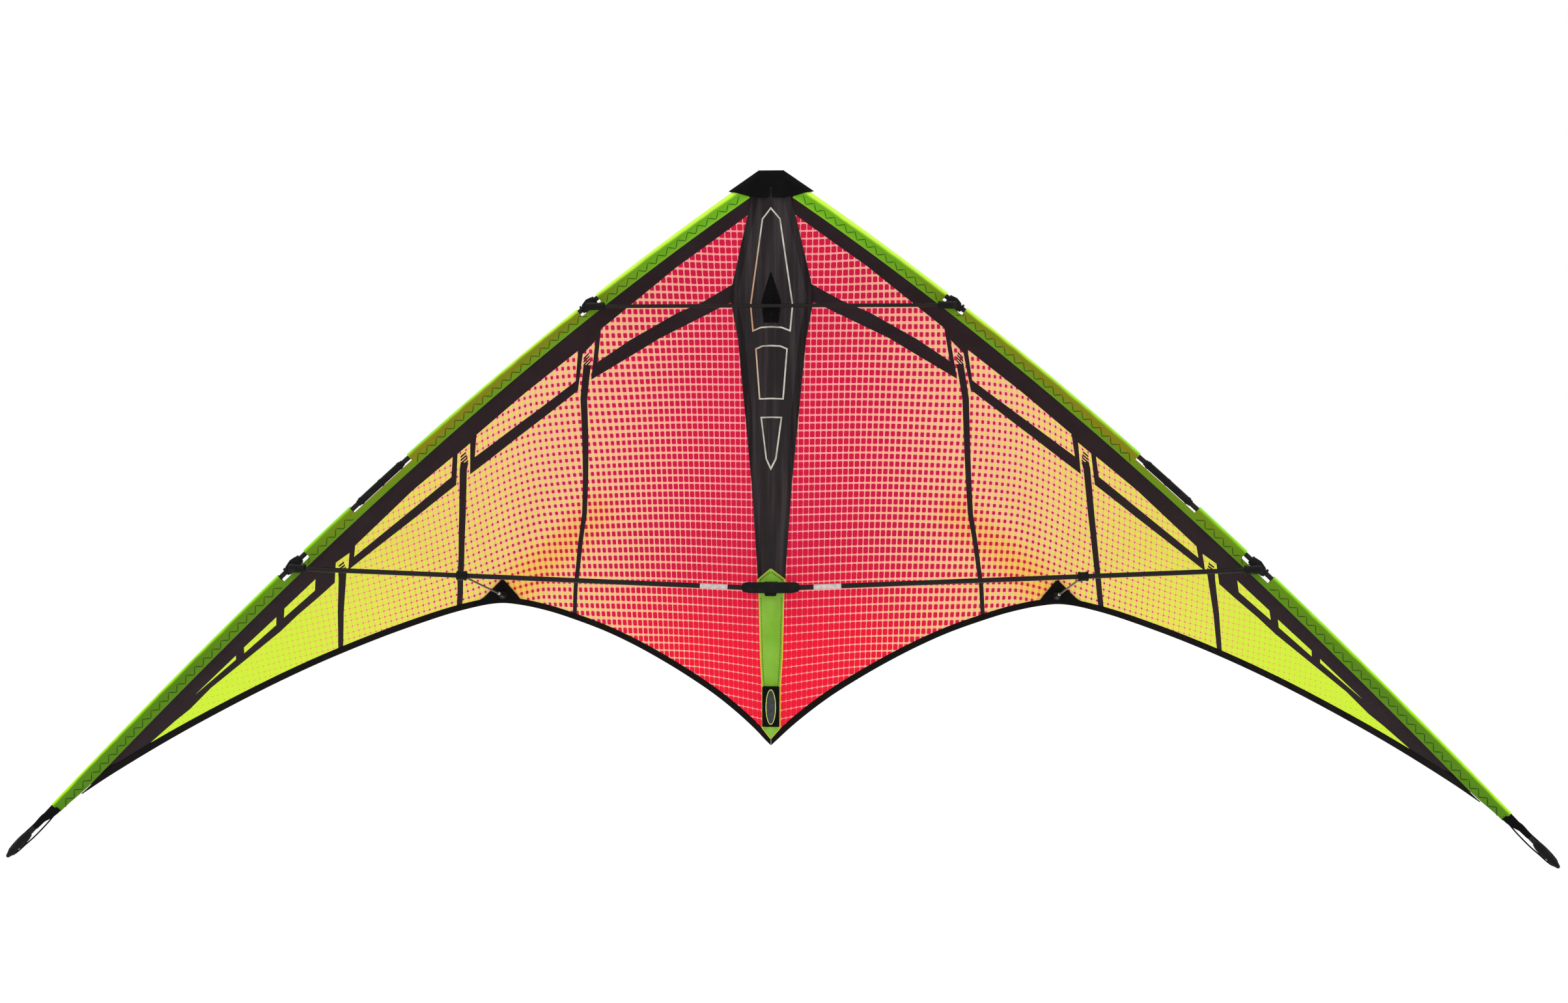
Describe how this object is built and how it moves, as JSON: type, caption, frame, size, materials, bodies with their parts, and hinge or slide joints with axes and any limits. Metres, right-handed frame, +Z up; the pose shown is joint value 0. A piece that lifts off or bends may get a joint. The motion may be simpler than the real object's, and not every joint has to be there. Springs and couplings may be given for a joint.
{
  "type": "dual-line delta sport kite",
  "caption": "Framed delta sport kite: swept leading-edge sleeves, a bellied sail held back by standoffs, folding spreaders, centre tee and tail tab.",
  "frame": {"origin": "where the centre tee crosses the spine's axis", "axes": "+X to the wing tip on the right as seen from the frame side, +Z up the spine to the nose, +Y to the back of the sail"},
  "size_m": [1.5806, 0.1562, 0.7033],
  "materials": {
    "carbon": "satin pultruded carbon",
    "moulded_vinyl": "matt black moulded vinyl",
    "sleeve_cloth": "heavy woven polyester",
    "printed_sail": "translucent printed ripstop",
    "edge_tape": "black woven binding tape",
    "panel_cloth": "black ripstop",
    "keel_cloth": "green laminated cloth",
    "felt": "self-adhesive felt",
    "elastic_cord": "braided elastic cord"
  },
  "bodies": {
    "keel_frame": {"nose_cap": "edge_tape", "spine_tube": "carbon", "spine_top_cap": "moulded_vinyl", "spine_tail_cap": "moulded_vinyl", "centre_panel": "panel_cloth", "keel_strip": "keel_cloth", "wear_patch": "felt", "centre_tee": "moulded_vinyl", "left_sail": "printed_sail", "left_hem": "edge_tape", "left_standoff_patch": "edge_tape", "left_edge_connector": "moulded_vinyl", "right_sail": "printed_sail", "right_hem": "edge_tape", "right_standoff_patch": "edge_tape", "right_edge_connector": "moulded_vinyl"},
    "tail_tab": {"tail_tab": "edge_tape"},
    "upper_rod": {"upper_spreader": "carbon"},
    "left_wing": {"left_upper_spar": "carbon", "left_lower_spar": "carbon", "left_spar_ferrule": "carbon", "left_spar_cap": "moulded_vinyl", "left_edge_sleeve": "sleeve_cloth", "left_lower_fitting": "moulded_vinyl", "left_upper_fitting": "moulded_vinyl", "left_tip_nock": "moulded_vinyl", "left_tip_cord": "elastic_cord"},
    "left_rod": {"left_lower_spreader": "carbon"},
    "left_standoff": {"left_standoff_clip": "moulded_vinyl", "left_standoff_rod": "carbon"},
    "right_wing": {"right_upper_spar": "carbon", "right_lower_spar": "carbon", "right_spar_ferrule": "carbon", "right_spar_cap": "moulded_vinyl", "right_edge_sleeve": "sleeve_cloth", "right_lower_fitting": "moulded_vinyl", "right_upper_fitting": "moulded_vinyl", "right_tip_nock": "moulded_vinyl", "right_tip_cord": "elastic_cord"},
    "right_rod": {"right_lower_spreader": "carbon"},
    "right_standoff": {"right_standoff_clip": "moulded_vinyl", "right_standoff_rod": "carbon"}
  },
  "joints": [
    {"name": "left_wing_fold", "type": "hinge", "parent": "keel_frame", "child": "left_wing", "pos_m": [-0.02232, 0, 0.40831], "axis": [0, -1, 0], "range_deg": [0, 45], "deforming": ["left_sail", "left_hem", "left_standoff_patch", "left_edge_connector", "left_lower_fitting", "left_upper_fitting", "nose_cap", "centre_panel", "centre_tee"]},
    {"name": "right_wing_fold", "type": "hinge", "parent": "keel_frame", "child": "right_wing", "pos_m": [0.02232, 0, 0.40831], "axis": [0, 1, 0], "range_deg": [0, 45], "deforming": ["right_sail", "right_hem", "right_standoff_patch", "right_edge_connector", "right_lower_fitting", "right_upper_fitting"]},
    {"name": "left_rod_fold", "type": "hinge", "parent": "keel_frame", "child": "left_rod", "pos_m": [-0.016, -0.0105, -0.00051], "axis": [0, -1, 0], "range_deg": [0, 90]},
    {"name": "right_rod_fold", "type": "hinge", "parent": "keel_frame", "child": "right_rod", "pos_m": [0.016, -0.0105, -0.00051], "axis": [0, 1, 0], "range_deg": [0, 90]},
    {"name": "left_standoff_swing", "type": "hinge", "parent": "left_rod", "child": "left_standoff", "pos_m": [-0.3147, -0.0105, 0.01165], "axis": [0.9992, 0, -0.0407], "range_deg": [0, 70]},
    {"name": "right_standoff_swing", "type": "hinge", "parent": "right_rod", "child": "right_standoff", "pos_m": [0.3147, -0.0105, 0.01165], "axis": [0.9992, 0, 0.0407], "range_deg": [0, 70]},
    {"name": "upper_rod_swing", "type": "hinge", "parent": "keel_frame", "child": "upper_rod", "pos_m": [0, -0.0094, 0.285], "axis": [0, 1, 0], "range_deg": [0, 90]},
    {"name": "tail_tab_open", "type": "hinge", "parent": "keel_frame", "child": "tail_tab", "pos_m": [0, -0.0064, -0.141], "axis": [1, 0, 0], "range_deg": [0, 120]}
  ],
  "couplings": [
    {"joint": "right_wing_fold", "follows": "left_wing_fold", "ratio": 1},
    {"joint": "left_rod_fold", "follows": "left_wing_fold", "ratio": 2},
    {"joint": "left_standoff_swing", "follows": "left_wing_fold", "ratio": 1.5556},
    {"joint": "right_rod_fold", "follows": "left_wing_fold", "ratio": 2},
    {"joint": "right_standoff_swing", "follows": "left_wing_fold", "ratio": 1.5556},
    {"joint": "upper_rod_swing", "follows": "left_wing_fold", "ratio": 2}
  ]
}
